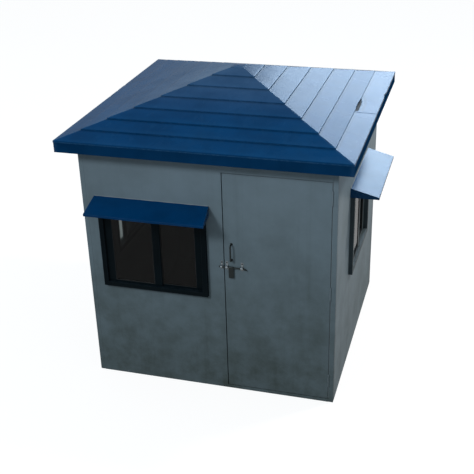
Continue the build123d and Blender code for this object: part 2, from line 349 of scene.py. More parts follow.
def ripple(u, v, seed):
    """Slow swelling of a sheet, from about -1 to 1: three sine waves, each with its own length,
    direction and start."""
    chance = np.random.default_rng(seed)
    total = 0
    for wave in (0.9, 0.43, 0.21):
        turn, start = chance.uniform(0, 2 * np.pi, 2)
        total = total + wave * np.sin((u * np.cos(turn) + v * np.sin(turn)) * 2 * np.pi / wave + start)
    return total / 1.54


def bump(s, middle, width):
    """Smooth hill of height 1, zero beyond width to either side of the middle."""
    return np.cos(np.clip((s - middle) / width, -1, 1) * np.pi / 2) ** 2


# Pieces

EDGE_ANGLE = 30      # degrees between faces that count as a full edge
BEVEL_ANGLE = 0.8    # radians past which an edge is bevelled
SMOOTH_ANGLE = 38    # degrees up to which shading runs on over an edge


def joint_place(name):
    """A point on a joint's axis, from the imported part."""
    return np.array(next(joint for joint in frame["joints"] if joint["name"] == name)["pos_m"])


def edge_share(mesh):
    """How sharply the surface turns at each point, from 0 on a flat to 1 on an edge: the widest
    angle between the mean normal and a face's own, over the edge angle."""
    normals = np.empty(len(mesh.polygons) * 3)
    mesh.polygons.foreach_get("normal", normals)
    corners = np.empty(len(mesh.polygons), int)
    mesh.polygons.foreach_get("loop_total", corners)
    points = np.empty(len(mesh.loops), int)
    mesh.loops.foreach_get("vertex_index", points)
    normals = np.repeat(normals.reshape(-1, 3), corners, axis=0)
    mean = np.zeros((len(mesh.vertices), 3))
    np.add.at(mean, points, normals)
    mean /= np.maximum(np.linalg.norm(mean, axis=1, keepdims=True), 1e-9)
    least = np.ones(len(mesh.vertices))
    np.minimum.at(least, points, (normals * mean[points]).sum(1))
    return np.clip(np.degrees(np.arccos(np.clip(least, -1, 1))) / EDGE_ANGLE, 0, 1)


def add_piece(name, surface, body, material, replaces=(), bevel=0, side="front",
              sheet=None, fresh=None):
    """Object of one surface: turned to its side of the booth, its faces turned outwards, its sharp
    edges cut by a small bevel where asked for, its attributes filled in, riding on its body and
    standing for its nodes."""
    points, faces = surface
    mesh = bpy.data.meshes.new(name)
    mesh.from_pydata(turned(points, side), [], faces)
    work = bmesh.new()
    work.from_mesh(mesh)
    bmesh.ops.recalc_face_normals(work, faces=work.faces)
    if bevel:
        sharp = [e for e in work.edges if e.is_manifold and e.calc_face_angle() > BEVEL_ANGLE]
        bmesh.ops.bevel(work, geom=sharp, offset=bevel, segments=2, profile=0.6, affect="EDGES")
    work.to_mesh(mesh)
    work.free()
    mesh.shade_smooth()
    mesh.set_sharp_from_angle(angle=np.radians(SMOOTH_ANGLE))
    for key, kind, field, values in (("edge", "FLOAT", "value", edge_share(mesh)),
                                     ("sheet", "FLOAT_VECTOR", "vector", sheet),
                                     ("fresh", "FLOAT", "value", fresh)):
        if values is not None:
            layer = mesh.attributes.new(key, kind, "POINT")
            layer.data.foreach_set(field, np.asarray(values, np.float32).ravel())
    mesh.materials.append(material)
    piece = bpy.data.objects.new(name, mesh)
    bpy.context.scene.collection.objects.link(piece)
    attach(piece, body)
    if replaces:
        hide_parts(*replaces)
    return piece


def finish_nodes(material, *names):
    """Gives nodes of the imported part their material."""
    for name in names:
        materials = frame["nodes"][name].data.materials
        materials.clear()
        materials.append(material)


# Finishes

def add_node(tree, kind, inputs=(), **settings):
    """New node with its settings, each input linked to a socket or set to a value."""
    node = tree.nodes.new(kind)
    for key, value in settings.items():
        setattr(node, key, value)
    for key, value in dict(inputs).items():
        if isinstance(value, bpy.types.NodeSocket):
            tree.links.new(value, node.inputs[key])
        else:
            node.inputs[key].default_value = value
    return node


def mixed(tree, factor, first, second, blend="MIX"):
    """Colour mixed from two others, each a socket or a colour."""
    first, second = (c if isinstance(c, bpy.types.NodeSocket) else (*c, 1)[:4] for c in (first, second))
    node = add_node(tree, "ShaderNodeMix", {0: factor, 6: first, 7: second},
                    data_type="RGBA", blend_type=blend, clamp_factor=True)
    return node.outputs[2]


def maths(tree, operation, first, second=0.0, clamp=False):
    """One sum of two values."""
    return add_node(tree, "ShaderNodeMath", {0: first, 1: second},
                    operation=operation, use_clamp=clamp).outputs[0]


def ranged(tree, value, low, high, to_low=0.0, to_high=1.0):
    """Value carried from one range to another along a smooth step."""
    return add_node(tree, "ShaderNodeMapRange",
                    {0: value, 1: low, 2: high, 3: to_low, 4: to_high},
                    interpolation_type="SMOOTHSTEP").outputs[0]


def noise(tree, vector, scale, detail=3.0, roughness=0.55):
    """Plain noise of a given number of spots a metre."""
    return add_node(tree, "ShaderNodeTexNoise",
                    {"Vector": vector, "Scale": scale, "Detail": detail, "Roughness": roughness}).outputs[0]


def stretched(tree, vector, scale):
    """Vector with each of its parts scaled."""
    return add_node(tree, "ShaderNodeMapping", {"Vector": vector, "Scale": scale}).outputs[0]


def new_group(name, inputs, outputs):
    """Empty node group with its named sockets."""
    group = bpy.data.node_groups.new(name, "ShaderNodeTree")
    for label, kind, value in inputs:
        socket = group.interface.new_socket(label, in_out="INPUT", socket_type="NodeSocket" + kind)
        if value is not None:
            socket.default_value = value
    for label, kind in outputs:
        group.interface.new_socket(label, in_out="OUTPUT", socket_type="NodeSocket" + kind)
    return group, group.nodes.new("NodeGroupInput").outputs, group.nodes.new("NodeGroupOutput").inputs


def weathering_group():
    """Dust and dirt: a darkening that fades with height, runs that follow the streak vector, and slow
    patches, added up to one mask that takes the paint to the dirt's colour. On the walls the darkening runs
    up their whole height and is partly painted shade."""
    group, given, out = new_group("Weathering", (
        ("Vector", "Vector", None), ("Streak Vector", "Vector", None),
        ("Paint", "Color", (0.5, 0.5, 0.5, 1)), ("Dirt", "Color", (0.2, 0.2, 0.2, 1)),
        ("Splash Height", "Float", 0.6), ("Splash", "Float", 0.5),
        ("Runs", "Float", 0.3), ("Patches", "Float", 0.3),
    ), (("Colour", "Color"), ("Mask", "Float")))
    height = add_node(group, "ShaderNodeSeparateXYZ", {0: given["Vector"]}).outputs[2]
    splash = add_node(group, "ShaderNodeMapRange",
                      {0: height, 1: 0.0, 2: given["Splash Height"], 3: 1.0, 4: 0.0}).outputs[0]
    speckle = noise(group, given["Vector"], 7.0, 6.0, 0.65)
    splash = maths(group, "MULTIPLY", splash, ranged(group, speckle, 0.25, 0.75, 0.70, 1.0))
    runs = ranged(group, noise(group, given["Streak Vector"], 11.0, 4.0), 0.50, 0.78)
    patches = ranged(group, noise(group, given["Vector"], 1.9, 5.0), 0.42, 0.68)
    mask = maths(group, "MULTIPLY", splash, given["Splash"])
    mask = maths(group, "ADD", mask, maths(group, "MULTIPLY", runs, given["Runs"]))
    mask = maths(group, "ADD", mask, maths(group, "MULTIPLY", patches, given["Patches"]), clamp=True)
    group.links.new(mixed(group, mask, given["Paint"], given["Dirt"]), out["Colour"])
    group.links.new(mask, out["Mask"])
    return group


def edge_wear_group():
    """Wear on edges: the piece's edge attribute broken up by noise takes the colour to the worn one."""
    group, given, out = new_group("Edge Wear", (
        ("Vector", "Vector", None), ("Colour", "Color", (0.5, 0.5, 0.5, 1)),
        ("Worn", "Color", (0.7, 0.7, 0.7, 1)), ("Amount", "Float", 0.5),
    ), (("Colour", "Color"), ("Mask", "Float")))
    edge = add_node(group, "ShaderNodeAttribute", attribute_name="edge").outputs["Fac"]
    broken = ranged(group, noise(group, given["Vector"], 38.0, 5.0, 0.7), 0.40, 0.62)
    mask = maths(group, "MULTIPLY", ranged(group, edge, 0.15, 0.9), maths(group, "ADD", broken, 0.35))
    mask = maths(group, "MULTIPLY", mask, given["Amount"], clamp=True)
    group.links.new(mixed(group, mask, given["Colour"], given["Worn"]), out["Colour"])
    group.links.new(mask, out["Mask"])
    return group


def fine_grain_group():
    """Skin of a coated surface: fine noise for its height, and coarser noise for its tone."""
    group, given, out = new_group("Fine Grain", (
        ("Vector", "Vector", None), ("Scale", "Float", 300.0),
    ), (("Height", "Float"), ("Tone", "Float")))
    group.links.new(noise(group, given["Vector"], given["Scale"], 2.0), out["Height"])
    group.links.new(noise(group, given["Vector"], 3.2, 4.0, 0.6), out["Tone"])
    return group


GROUPS = {"Weathering": weathering_group, "Edge Wear": edge_wear_group, "Fine Grain": fine_grain_group}


def placed_group(tree, name, inputs):
    """One of the shared groups, built when it is first asked for, placed in a material."""
    group = bpy.data.node_groups.get(name) or GROUPS[name]()
    return add_node(tree, "ShaderNodeGroup", inputs, node_tree=group).outputs


def new_material(name):
    """Material with its Principled shader, Object coordinates and an empty tree beside them."""
    material = bpy.data.materials.new(name)
    material.use_nodes = True
    tree = material.node_tree
    shader = tree.nodes["Principled BSDF"]
    place = tree.nodes.new("ShaderNodeTexCoord").outputs["Object"]
    return material, tree, shader, place


def set_bump(tree, shader, height, strength, distance):
    """Bump from a height, on the shader's normal."""
    node = add_node(tree, "ShaderNodeBump", {"Height": height, "Strength": strength, "Distance": distance})
    tree.links.new(node.outputs[0], shader.inputs["Normal"])


def lapped_paint(tree, shader, place, grain, paint, colour_so_far, dirt, chalk):
    """Paint of the roof's lapped sheets, and the vector that its runs follow: a painted shadow under
    each lap, a painted highlight in the dust colour along each lower edge, a pale bloom with painted
    sheen that grows with height, painted shade in the cracks, and a clearer shine on the fresh sheet.
    The sheet attribute holds each point's place across, its share of the way down and its painted crack
    shade."""
    sheet = add_node(tree, "ShaderNodeAttribute", attribute_name="sheet").outputs["Vector"]
    _, down, crack_shade = add_node(tree, "ShaderNodeSeparateXYZ", {0: sheet}).outputs
    # Painted shadow: each course darkens just below the lap of the course above it.
    lap_shadow = maths(tree, "MULTIPLY", ranged(tree, down, 0.20, 0.0), 0.55)
    result = mixed(tree, lap_shadow, colour_so_far, dimmed(paint, 0.35))
    # Painted highlight: a lighter band in the dust colour along each course's lower edge.
    lap_highlight = maths(tree, "MULTIPLY", ranged(tree, down, 0.62, 0.95), 0.20)
    result = mixed(tree, lap_highlight, result, dirt)
    height = add_node(tree, "ShaderNodeSeparateXYZ", {0: place}).outputs[2]
    start, end, amount = chalk
    # Pale bloom and painted sheen: the roof grows paler and bluer towards its top.
    pale_top_share = maths(tree, "MULTIPLY", ranged(tree, height, start, end), grain["Tone"])
    result = mixed(tree, maths(tree, "MULTIPLY", pale_top_share, amount), result, BLOOM_AND_SHEEN)
    # Painted shade: near black in the cracks and under the bent edge.
    result = mixed(tree, crack_shade, result, CRACK_SHADOW_COLOUR)
    fresh = add_node(tree, "ShaderNodeAttribute", attribute_name="fresh").outputs["Fac"]
    tree.links.new(maths(tree, "MULTIPLY", fresh, 0.045), shader.inputs["Coat Weight"])
    shader.inputs["Coat Roughness"].default_value = 0.3
    return result, sheet


def outside_walls(tree, place):
    """One in the walls and beyond them, zero from their inner faces inwards: the larger of the
    distances from the booth's middle across and along, against the right wall's inner face."""
    x, y, _ = add_node(tree, "ShaderNodeSeparateXYZ", {0: place}).outputs
    far = maths(tree, "MAXIMUM", maths(tree, "ABSOLUTE", x), maths(tree, "ABSOLUTE", y))
    margin = 0.002
    return maths(tree, "GREATER_THAN", far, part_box("right_wall_panel")[0].x + margin)


def coated_sheet(name, paint, dirt, worn, splash=0.0, splash_height=1.0, runs=0.3, patches=0.3,
                 wear=0.4, roughness=(0.35, 0.6), gloss=0.3, streak=(1, 1, 0.05), tone=0.12,
                 liner=None, chalk=None):
    """Painted or coated metal sheet: tone, dirt, worn edges and a faint skin, and a darkening towards
    the bottom, which on the walls is partly painted shade. A liner colour takes over inside the booth.
    The pale bloom with its painted sheen, the two heights between which it grows and its amount, is for the
    roof's lapped sheets."""
    material, tree, shader, place = new_material(name)
    grain = placed_group(tree, "Fine Grain", {"Vector": place, "Scale": 260.0})
    cloudy = ranged(tree, grain["Tone"], 0.35, 0.65)
    paint_colour = mixed(tree, cloudy, dimmed(paint, 1 - tone), dimmed(paint, 1 + tone))
    runs_vector = place
    if chalk is not None:
        paint_colour, runs_vector = lapped_paint(tree, shader, place, grain, paint, paint_colour, dirt, chalk)
    weather = placed_group(tree, "Weathering", {
        "Vector": place, "Streak Vector": stretched(tree, runs_vector, streak),
        "Paint": paint_colour, "Dirt": (*dirt, 1), "Splash Height": splash_height,
        "Splash": splash, "Runs": runs, "Patches": patches})
    worn_edges = placed_group(tree, "Edge Wear", {
        "Vector": place, "Colour": weather["Colour"], "Worn": (*worn, 1), "Amount": wear})
    base = worn_edges["Colour"]
    if liner is not None:
        base = mixed(tree, outside_walls(tree, place), mixed(tree, cloudy, dimmed(liner, 0.9), liner), base)
    tree.links.new(base, shader.inputs["Base Color"])
    dull = maths(tree, "ADD", weather["Mask"], worn_edges["Mask"])
    tree.links.new(ranged(tree, dull, 0.0, 1.0, *roughness), shader.inputs["Roughness"])
    shader.inputs["Specular IOR Level"].default_value = gloss
    set_bump(tree, shader, grain["Height"], 0.12, 0.0006)
    return material


def steel(name, tint, roughness=(0.45, 0.65), metal=0.15):
    """Dull plated or blackened steel: dark patches and lighter worn edges."""
    material, tree, shader, place = new_material(name)
    grain = placed_group(tree, "Fine Grain", {"Vector": place, "Scale": 700.0})
    tone = mixed(tree, ranged(tree, noise(tree, place, 60.0), 0.35, 0.65), dimmed(tint, 0.7), tint)
    worn_edges = placed_group(tree, "Edge Wear", {
        "Vector": place, "Colour": tone, "Worn": (*dimmed(tint, 1.8), 1), "Amount": 0.35})
    tree.links.new(worn_edges["Colour"], shader.inputs["Base Color"])
    tree.links.new(ranged(tree, grain["Height"], 0.3, 0.7, *roughness), shader.inputs["Roughness"])
    shader.inputs["Metallic"].default_value = metal
    shader.inputs["Specular IOR Level"].default_value = 0.04
    set_bump(tree, shader, grain["Height"], 0.15, 0.0003)
    return material


def tinted_glass(name, tint, ior):
    """Dark tinted pane with faint dust that dulls its shine."""
    material, tree, shader, place = new_material(name)
    smear = ranged(tree, noise(tree, stretched(tree, place, (1, 1, 0.4)), 9.0, 5.0), 0.40, 0.75)
    tree.links.new(mixed(tree, smear, tint, dimmed(tint, 0.86)), shader.inputs["Base Color"])
    tree.links.new(ranged(tree, smear, 0.0, 1.0, 0.02, 0.10), shader.inputs["Roughness"])
    shader.inputs["Transmission Weight"].default_value = 1.0
    shader.inputs["IOR"].default_value = ior
    return material


def plain_rubber(name, tint):
    """Matt rubber or sealant with a fine uneven skin."""
    material, tree, shader, place = new_material(name)
    grain = placed_group(tree, "Fine Grain", {"Vector": place, "Scale": 420.0})
    tree.links.new(mixed(tree, grain["Height"], dimmed(tint, 0.6), tint), shader.inputs["Base Color"])
    tree.links.new(ranged(tree, grain["Height"], 0.3, 0.7, 0.55, 0.8), shader.inputs["Roughness"])
    shader.inputs["Specular IOR Level"].default_value = 0.2
    set_bump(tree, shader, grain["Height"], 0.4, 0.0008)
    return material


def worn_floor_sheet(name, tint):
    """Sheet flooring with a printed fleck, scuffs and dust trodden in."""
    material, tree, shader, place = new_material(name)
    fleck = ranged(tree, noise(tree, place, 150.0, 3.0, 0.7), 0.46, 0.60)
    flecked = mixed(tree, fleck, tint, dimmed(tint, 0.62))
    weather = placed_group(tree, "Weathering", {
        "Vector": place, "Streak Vector": stretched(tree, place, (0.3, 1, 1)), "Paint": flecked,
        "Dirt": (*srgb(74, 66, 55), 1), "Splash": 0.0, "Runs": 0.45, "Patches": 0.6})
    tree.links.new(weather["Colour"], shader.inputs["Base Color"])
    tree.links.new(ranged(tree, weather["Mask"], 0, 1, 0.38, 0.75), shader.inputs["Roughness"])
    set_bump(tree, shader, fleck, 0.1, 0.0005)
    return material


def coats(colours):
    """What each coated sheet of the booth is made with, by the material's name."""
    liner, roof = tuple(colours.liner), tuple(colours.roof)
    # The walls darken towards the bottom over their whole height, partly dirt and partly painted shade; the
    # side walls less.
    walls = {"paint": tuple(colours.wall), "dirt": tuple(colours.wall_dirt_and_shade), "worn": WORN_WALL,
             "splash": 0.95, "splash_height": 2.4, "runs": 0.10, "patches": 0.10, "wear": 0.35,
             "roughness": (0.50, 0.70), "gloss": 0.065, "tone": 0.04, "liner": liner}
    # The dust colour here also paints the highlight along each course's lower edge.
    laps = {"paint": roof, "dirt": tuple(colours.roof_dust_and_highlight), "worn": WORN_AND_HIGHLIT_ROOF, "runs": 0.16,
            # The worn colour along the hips also paints a highlight line.
            "patches": 0.12, "wear": 0.30, "roughness": (0.27, 0.50), "gloss": 0.0125,
            # The bloom grows with height and also stands for the painted sheen on the upper courses.
            "streak": (1, 0.12, 1), "tone": 0.10, "chalk": (2.30, 2.54, 0.50)}
    hoods = {"paint": roof, "dirt": tuple(colours.roof_dust_and_highlight), "worn": WORN_TRIM, "runs": 0.10,
             "patches": 0.10, "wear": 0.30, "roughness": (0.26, 0.42), "gloss": 0.036, "tone": 0.10}
    frames = {"paint": tuple(colours.window_frame), "dirt": srgb(21, 27, 29), "worn": srgb(33, 41, 47),
              "runs": 0.15, "patches": 0.15, "wear": 0.25, "roughness": (0.50, 0.65), "gloss": 0.03,
              "tone": 0.2}
    return {
        "wall_coat": walls,
        "side_wall_coat": {**walls, "splash": 0.60},
        "door_coat": {**walls, "runs": 0.12, "patches": 0.12},
        "roof_paint": laps,
        # Lighter, bluer copy of the roof paint on the left side, with more bloom: painted reflection in place
        # of its shine.
        "chalked_roof_paint": {**laps, "paint": tuple(np.array(roof) * (1.0, 1.5, 1.3)),
                               "gloss": 0.0066, "chalk": (2.22, 2.58, 1.2)},
        # Darker copy of the roof paint on the fascia: painted shade, lightened in places by dust patches.
        "trim_paint": {**hoods, "paint": tuple(colours.fascia), "runs": 0.08, "patches": 0.16,
                       "wear": 0.20, "roughness": (0.40, 0.56), "gloss": 0.0},
        "hood_paint": hoods,
        # Lighter copy of the hood paint on the side hoods: painted light.
        "side_hood_paint": {**hoods, "paint": tuple(colours.side_hood)},
        "frame_paint": frames,
        # Lighter copy of the frame paint on the side windows: painted light, with more dust.
        "dusty_frame_paint": {**frames, "paint": tuple(colours.lit_side_frame), "dirt": srgb(52, 59, 61),
                              "worn": srgb(59, 67, 71), "runs": 0.30, "patches": 0.30},
        "base_primer": {"paint": tuple(colours.base), "dirt": srgb(78, 55, 38), "worn": srgb(94, 66, 43),
                        "splash": 0.8, "splash_height": 0.1, "runs": 0.4, "patches": 0.5, "wear": 0.7,
                        "roughness": (0.5, 0.75), "gloss": 0.2},
        "liner": {"paint": liner, "dirt": srgb(102, 95, 85), "worn": liner, "splash": 0.5,
                  "splash_height": 0.4, "runs": 0.15, "patches": 0.3, "wear": 0.0,
                  "roughness": (0.5, 0.7), "gloss": 0.25, "tone": 0.05},
        "underlay": {"paint": srgb(12, 15, 19), "dirt": srgb(28, 28, 26), "worn": srgb(24, 24, 24),
                     "runs": 0.3, "patches": 0.4, "wear": 0.2, "roughness": (0.7, 0.9), "gloss": 0.1},
    }


def finishes(colours):
    """Hands out every material of the booth by name, each made when it is first asked for."""
    glass = tuple(colours.glass)
    others = {
        "front_glass": (tinted_glass, glass, 1.18),
        # Darker copy of the pane tint for the side windows: painted shade.
        "side_glass": (tinted_glass, dimmed(glass, 0.25), 1.05),
        "gasket": (plain_rubber, srgb(12, 14, 15)),
        "sealant": (plain_rubber, srgb(128, 135, 139)),
        "dark_steel": (steel, tuple(colours.steel)),
        "zinc_steel": (steel, tuple(colours.zinc), (0.65, 0.85), 0.05),
        "floor_sheet": (worn_floor_sheet, tuple(colours.floor_sheet)),
    }

    def material(name):
        made = bpy.data.materials.get(name)
        if made:
            return made
        if name in others:
            maker, *values = others[name]
            return maker(name, *values)
        return coated_sheet(name, **coats(colours)[name])

    return material


# Operators

class BOOTH_OT_roof_sheets(bpy.types.Operator):
    """Lapped courses of sheet on the four sides of the roof, the underlay below and the cap"""
    bl_idname = "booth.roof_sheets"
    bl_label = "Roof sheets"

    def damage(self, sizes, side, number, s, down):
        """How far each point of a course is moved down the slope and across, and its painted crack shade: a
        lap torn open on the right, bent lower edges there and three cracks on the left. Each is a hill
        or a clipped ramp in the place across, times a ramp in the share of the way down."""
        drop, slant, crack_shade = (np.zeros_like(down) for _ in range(3))
        lower_third = np.clip(down * 3 - 2, 0, 1)
        bend = 0.006
        if side == "right" and number == 0:
            tear_start, tear_end, bent_place = -0.160, 0.30, 0.462
            tear = np.clip((s - tear_start) / 0.03, 0, 1) * np.sqrt(np.clip((tear_end - s) / 0.22, 0, 1))
            pull = (sizes.tuck + sizes.torn_gap) * tear * (1 + 0.06 * ripple(s * 6, 0, 5))
            drop += pull * np.clip(1 - 1.4 * down, 0, 1)
            drop -= bend * bump(s, bent_place, 0.085) * lower_third
            # Painted shade under the bent lower edge.
            crack_shade += bump(s, bent_place, 0.07) * np.clip(down * 30 - 28.6, 0, 1)
            slant += sizes.torn_slant * down * np.clip(1 - np.abs(s - tear_start) / 0.42, 0, 1)
        if side == "right" and number == 1:
            drop -= bend * bump(s, 0.02, 0.17) * lower_third
        if side == "left" and number == 0:
            for crack in (-0.293, -0.122, 0.050):
                hill = bump(s, crack, 0.016)
                drop -= 0.010 * hill * np.clip(down * 8 - 7, 0, 1)
                # Painted shade in the lower end of each crack.
                crack_shade += hill * np.clip(down * 14 - 12.6, 0, 1)
        return drop, slant, crack_shade

    def course(self, sizes, side, number, ends=(-1.0, 1.0), lift=0.0):
        """One course: a bent sheet outline in run and height, carried from hip to hip. A point's
        place across is the share of its own run, so both ends lie in the hips' planes; height
        follows the roof plane plus the step's share of the way down, plus slow ripples."""
        eave, cap = sizes.course_edges[0], sizes.course_edges[-1]
        eave_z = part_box("front_fascia")[1].z
        slope = (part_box("front_roof_panel")[1].z - eave_z) / (eave - cap)
        lower, upper = sizes.course_edges[number], sizes.course_edges[number + 1]
        lowest, highest = number == 0, number == len(sizes.course_edges) - 2
        fold = sizes.eave_fold if lowest else sizes.step
        top = upper - (0.0 if highest else sizes.tuck)
        past_fascia, sunk, rim = 0.0015, 0.004, 0.007
        lower += past_fascia if lowest else 0.0

        def surface(run):
            down = (run - upper) / (lower - upper)
            return eave_z - sunk + lift + slope * (eave - run) + sizes.step * down

        runs = np.append(np.linspace(top, lower - 0.012, 7), lower)
        corners = [(run, surface(run)) for run in runs] + [(lower, surface(lower) - fold)]
        path = bent_path(corners, [0.0] * (len(corners) - 3) + [0.0025])
        run, height = sheet_outline(path, -sizes.sheet).T
        inner = np.linspace(*ends, 121)[1:-1] * (1 - rim / lower / np.abs(ends).max())
        across = np.concatenate([ends[:1], inner, ends[1:]])
        if number <= 1:
            across = np.unique(np.concatenate([across, np.linspace(-0.25, 0.3, 45).clip(*ends)]))
        down = ((run - upper) / (lower - upper))[None].repeat(len(across), 0)
        drop, slant, crack_shade = self.damage(sizes, side, number, across[:, None] * lower, down)
        run = run + drop
        x = across[:, None] * run + slant
        seed = SIDES.index(side) * 10 + number
        swell = sizes.waviness * ripple(x, run * 2.0, seed) * np.clip(4 * down * (1.05 - down), 0, 1)
        points = np.stack([x, -run, height - slope * drop + swell], -1)
        # The third value is the painted crack shade.
        info = np.stack([x + 3.7 * number + lift * 900, down, np.clip(crack_shade, 0, 1)], -1)
        fresh = np.full(down.size, float(side == "right" and lowest))
        return loft(points), info.reshape(-1, 3), fresh

    def execute(self, context):
        sizes = context.scene.booth_roof
        material = finishes(context.scene.booth_colours)
        seam, overlap, lift = -0.160, 0.015, 0.0017
        for side in SIDES:
            rows = [self.course(sizes, side, number) for number in range(1, len(sizes.course_edges) - 1)]
            if side == "right":
                rows.append(self.course(sizes, side, 0, (-1.0, seam + overlap)))
                rows.append(self.course(sizes, side, 0, (seam, 1.0), lift))
            else:
                rows.append(self.course(sizes, side, 0))
            # The left side takes the lighter copy of the roof paint: painted reflection.
            paint = material("chalked_roof_paint" if side == "left" else "roof_paint")
            surfaces, sheet, fresh = zip(*rows)
            add_piece(f"{side}_roof_sheets", joined(surfaces), "booth", paint,
                      [f"{side}_roof_panel"], side=side, sheet=np.vstack(sheet),
                      fresh=np.concatenate(fresh))
        self.add_underlay(sizes, material)
        self.add_cap(sizes, material)
        return {"FINISHED"}

    def add_underlay(self, sizes, material):
        """Square pyramid under the sheets: square rings, out and down on top and back below."""
        set_in, board = 0.014, 0.006
        eave, cap = sizes.course_edges[0] - set_in, sizes.course_edges[-1]
        eave_z, top_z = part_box("front_fascia")[1].z - 0.008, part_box("front_roof_panel")[1].z - set_in
        corner = np.array([(-1, -1), (1, -1), (1, 1), (-1, 1)], float)
        rings = [np.column_stack([corner * half, np.full(4, z)]) for half, z in (
            (cap, top_z), (eave, eave_z), (eave, eave_z - board), (cap, top_z - board))]
        add_piece("roof_underlay", loft(rings), "booth", material("underlay"))

    def add_cap(self, sizes, material):
        """Cap of folded sheet: rounded square rings drawn in towards a low point."""
        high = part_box("roof_cap")[1].z
        half = sizes.course_edges[-1] + 0.004
        steps = ((half - 0.002, -0.016), (half, -0.014), (half, -0.008), (half - 0.0015, -0.0062),
                 (half * 0.6, -0.003), (half * 0.25, -0.0008), (0.004, 0.0))
        rings = [np.column_stack([rounded_outline(h, h, min(0.004, h / 3), 0.003),
                                  np.full(24, high + z)]) for h, z in steps]
        surface = loft(rings)
        sheet = np.stack(np.broadcast_arrays(surface[0][:, 0] + 40, 0.5, 0.0), -1)
        add_piece("roof_cap_cover", surface, "booth", material("roof_paint"),
                  ["roof_cap"], sheet=sheet)


class BOOTH_OT_fascia(bpy.types.Operator):
    """Folded sheet fascia round the eaves, mitred at the corners"""
    bl_idname = "booth.fascia"
    bl_label = "Fascia"

    def execute(self, context):
        """A rounded rectangle in run and height is carried from mitre to mitre; its outer face
        swells and sinks slowly."""
        material = finishes(context.scene.booth_colours)
        thick, edge, swelling, set_back = 0.012, 0.0022, 0.0016, 0.0018
        for side in SIDES:
            low, high = front_box(f"{side}_fascia", side)
            flat = rounded_outline(thick / 2, (high[2] - low[2]) / 2, edge, 0.004)
            run, height = -low[1] - thick / 2 + flat[:, 0], (low[2] + high[2]) / 2 + flat[:, 1]
            across = np.linspace(-1, 1, 61)
            across = np.concatenate([[-1], across[1:-1] * 0.994, [1]])[:, None]
            outer = (flat[:, 0] > 0) * np.clip(1 - np.abs(flat[:, 1]) / 0.045, 0, 1) ** 0.5
            swell = swelling * ripple(across * 1.18, 0 * height, 70 + SIDES.index(side)) * outer
            run = run + swell - set_back * outer
            points = np.stack([across * run, -run, 0 * run + height], -1)
            # Each fascia takes the darker copy of the roof paint: painted shade.
            add_piece(f"{side}_fascia_sheet", loft(points), "booth",
                      material("trim_paint"), [f"{side}_fascia"], side=side)
        return {"FINISHED"}


class BOOTH_OT_hoods(bpy.types.Operator):
    """Folded sheet hoods over the windows, each with cheeks, a hem and a sealant bead"""
    bl_idname = "booth.hoods"
    bl_label = "Window hoods"

    def hood(self, sizes, low, high, seed, splay):
        """Bent sheet outline in depth and height, carried along the hood, and a flat plate for each
        cheek. The right end leans out by the splay, in proportion to its distance from the wall."""
        (x0, outer, lip), (x1, wall, top) = low, high
        sheet, cheek_sheet = 0.0015, 0.0018
        edge_z = top - sizes.hood_drop
        corners = [(wall, top), (wall - 0.004, top - 0.0005), (outer, edge_z), (outer, lip),
                   (outer + sizes.hood_hem, lip + 0.0005)]
        path = bent_path(corners, [0.002, 0.003, 0.0015])
        stations = np.concatenate([[x0], np.linspace(x0 + 0.006, x1 - 0.006, 65), [x1]])
        points, faces = swept_along_x(sheet_outline(path, sheet), stations)
        depth = np.clip((wall - points[:, 1]) / (wall - outer), 0, 1)
        points[:, 2] += 0.0018 * ripple(points[:, 0], points[:, 1], seed) * depth
        cheek = [(wall, lip + 0.001), (outer + sheet, lip + 0.001), (outer + sheet, edge_z - 0.002),
                 (wall, top - 0.002)]
        points, faces = joined([(points, faces), plate(cheek, 0, x0, x0 + cheek_sheet),
                                plate(cheek, 0, x1 - cheek_sheet, x1)])
        depth = np.clip((wall - points[:, 1]) / (wall - outer), 0, 1)
        points[:, 0] += splay * depth * np.clip((points[:, 0] - x1 + 0.25) / 0.25, 0, 1)
        return points, faces

    def bead(self, low, high):
        """Line of sealant along the hood's top edge: a thin tube that swells and wanders by sines."""
        count = 60
        x = np.linspace(low[0] + 0.004, high[0] - 0.004, count)
        line = np.stack([x, np.full(count, high[1] - 0.0015), high[2] + 0.0005 + 0.0006 * np.sin(x * 61)], -1)
        return tube(line, 0.0032 + 0.0007 * np.sin(x * 37), (0, 1, 0), 10)

    def execute(self, context):
        sizes = context.scene.booth_window
        material = finishes(context.scene.booth_colours)
        for side in WINDOW_SIDES:
            low, high = front_box(f"{side}_window_hood", side)
            front = side == "front"
            surface = self.hood(sizes, low, high, 90 + len(side), sizes.hood_splay if front else 0)
            # The side hoods take the lighter copy of the hood paint: painted light.
            paint = material("hood_paint" if front else "side_hood_paint")
            add_piece(f"{side}_hood_sheet", surface, "booth", paint,
                      [f"{side}_window_hood"], side=side)
            add_piece(f"{side}_hood_bead", self.bead(low, high), "booth",
                      material("sealant"), side=side)
        return {"FINISHED"}


class BOOTH_OT_walls(bpy.types.Operator):
    """Corner posts with rounded edges, and the finish of the walls, floor, ceiling and base"""
    bl_idname = "booth.walls"
    bl_label = "Walls and posts"

    def execute(self, context):
        sizes = context.scene.booth_door
        material = finishes(context.scene.booth_colours)
        for place in ("front_left", "front_right", "back_left", "back_right"):
            node = f"corner_post_{place}"
            add_piece(f"post_{place}", rounded_bar(*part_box(node), sizes.edge), "booth",
                      material("wall_coat"), [node])
        finish_nodes(material("wall_coat"), "front_wall_panel", "front_wall_header", "door_sill",
                     "door_stops")
        finish_nodes(material("side_wall_coat"), "right_wall_panel", "left_wall_panel", "back_wall_panel")
        finish_nodes(material("liner"), "ceiling_panel")
        finish_nodes(material("floor_sheet"), "floor_board")
        finish_nodes(material("base_primer"), "base_frame")
        return {"FINISHED"}


